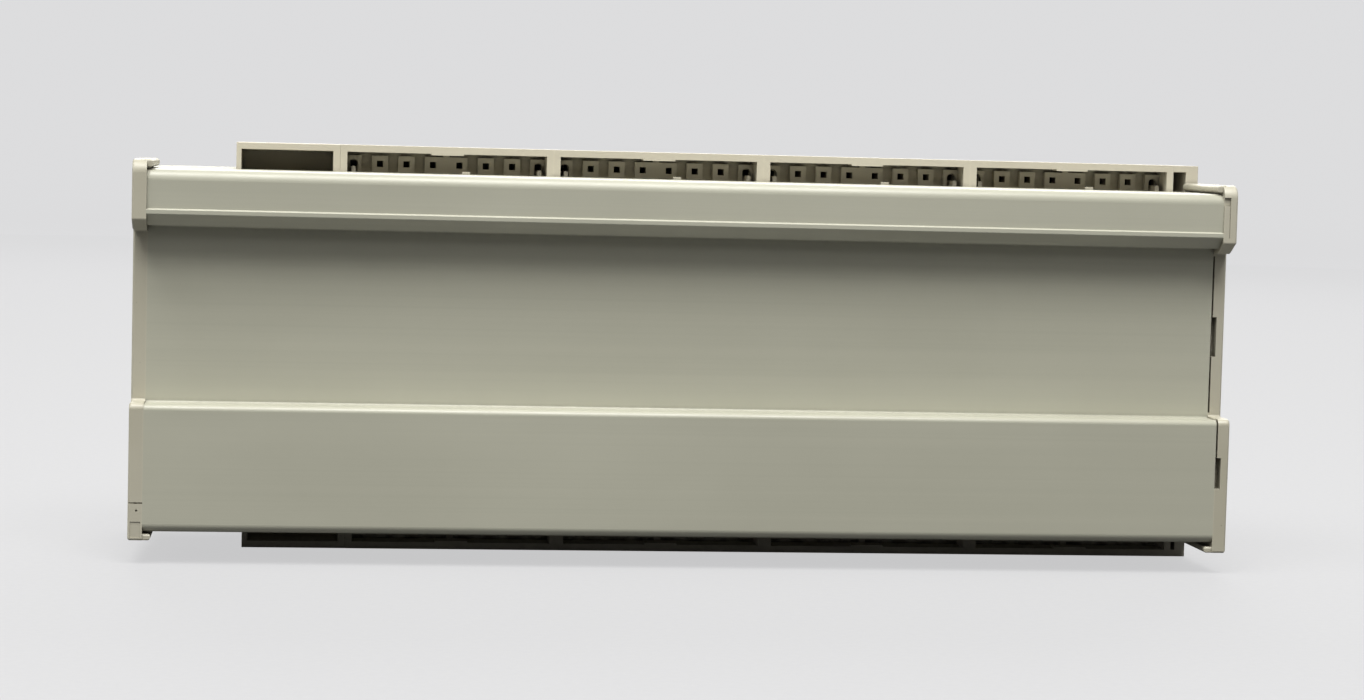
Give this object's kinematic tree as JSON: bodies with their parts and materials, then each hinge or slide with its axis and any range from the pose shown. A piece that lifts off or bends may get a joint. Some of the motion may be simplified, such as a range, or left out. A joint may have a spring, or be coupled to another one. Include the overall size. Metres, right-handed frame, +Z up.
{
  "type": "plc module",
  "caption": "Plug-in electronics module: extruded nose with rows of rear sockets, front housing with lamps, rotary address switches and a hinged label cover.",
  "frame": {"origin": "middle of the module's length and depth, at the foot of its lower row of sockets, where it stands", "axes": "+X along the module's length, +Y from the rear nose towards the front face, +Z up"},
  "size_m": [0.2058, 0.0612, 0.0772],
  "materials": {
    "profile_plastic": "extruded pebble-grey plastic, fine lengthwise lines",
    "housing_plastic": "moulded pebble-grey plastic, fine spark texture",
    "cap_plastic": "moulded beige plastic, slightly yellowed, soft sheen",
    "socket_plastic": "moulded beige connector plastic",
    "screw_steel": "zinc plated steel",
    "contact_tin": "tin plated, soft grey shine",
    "board_laminate": "green solder mask on glass laminate",
    "spacer_brass": "turned brass",
    "black_plastic": "moulded black plastic",
    "resistor_coat": "dipped coating",
    "can_aluminium": "bare aluminium",
    "ferrite": "sintered ferrite",
    "fuse_glass": "clear glass tube",
    "lamp_plastic": "tinted diffusing plastic",
    "clear_plastic": "clear moulded plastic",
    "label_card": "plain white card",
    "rotor_plastic": "moulded off-white plastic"
  },
  "bodies": {
    "housing": {"address_switch_tens": "black_plastic", "address_switch_units": "black_plastic", "board_screws": "screw_steel", "board_standoffs": "spacer_brass", "bus_controller_chip": "black_plastic", "bus_transformer": "ferrite", "cap_screws": "screw_steel", "crystal": "contact_tin", "filter_capacitors": "can_aluminium", "flap_pins": "screw_steel", "front_housing": "housing_plastic", "fuse": "fuse_glass", "fuse_clips": "contact_tin", "label_strip": "label_card", "left_end_cap": "cap_plastic", "light_guides": "clear_plastic", "link_header": "black_plastic", "link_pins": "contact_tin", "link_socket": "black_plastic", "logic_board": "board_laminate", "lower_blank_block": "socket_plastic", "lower_contacts_1": "contact_tin", "lower_contacts_2": "contact_tin", "lower_contacts_3": "contact_tin", "lower_contacts_4": "contact_tin", "lower_end_block": "socket_plastic", "lower_socket_1": "socket_plastic", "lower_socket_2": "socket_plastic", "lower_socket_3": "socket_plastic", "lower_socket_4": "socket_plastic", "main_board": "board_laminate", "memory_chip": "black_plastic", "optocouplers": "black_plastic", "output_drivers": "black_plastic", "processor_chip": "black_plastic", "rear_profile": "profile_plastic", "regulator_heat_sink": "can_aluminium", "resistor_networks": "resistor_coat", "right_end_cap": "cap_plastic", "standoff_screws": "screw_steel", "status_leds": "lamp_plastic", "termination_switch": "black_plastic", "upper_blank_block": "socket_plastic", "upper_contacts_1": "contact_tin", "upper_contacts_2": "contact_tin", "upper_contacts_3": "contact_tin", "upper_contacts_4": "contact_tin", "upper_end_block": "socket_plastic", "upper_socket_1": "socket_plastic", "upper_socket_2": "socket_plastic", "upper_socket_3": "socket_plastic", "upper_socket_4": "socket_plastic", "voltage_regulator": "black_plastic"},
    "label_flap": {"label_flap": "clear_plastic"},
    "tens_rotor": {"address_rotor_tens": "rotor_plastic"},
    "units_rotor": {"address_rotor_units": "rotor_plastic"},
    "termination_slider": {"termination_slider": "rotor_plastic"}
  },
  "joints": [
    {"name": "label_flap_hinge", "type": "hinge", "parent": "housing", "child": "label_flap", "pos_m": [-0.0103, 0.029, 0.0152], "axis": [-1, 0, 0], "range_deg": [0, 110]},
    {"name": "tens_rotor_turn", "type": "hinge", "parent": "housing", "child": "tens_rotor", "pos_m": [0.0657, 0.0244, 0.0402], "axis": [0, 1, 0], "continuous": true},
    {"name": "units_rotor_turn", "type": "hinge", "parent": "housing", "child": "units_rotor", "pos_m": [0.0817, 0.0244, 0.0402], "axis": [0, 1, 0], "continuous": true},
    {"name": "termination_slide", "type": "slide", "parent": "housing", "child": "termination_slider", "axis": [1, 0, 0], "range_m": [0, 0.004]}
  ]
}
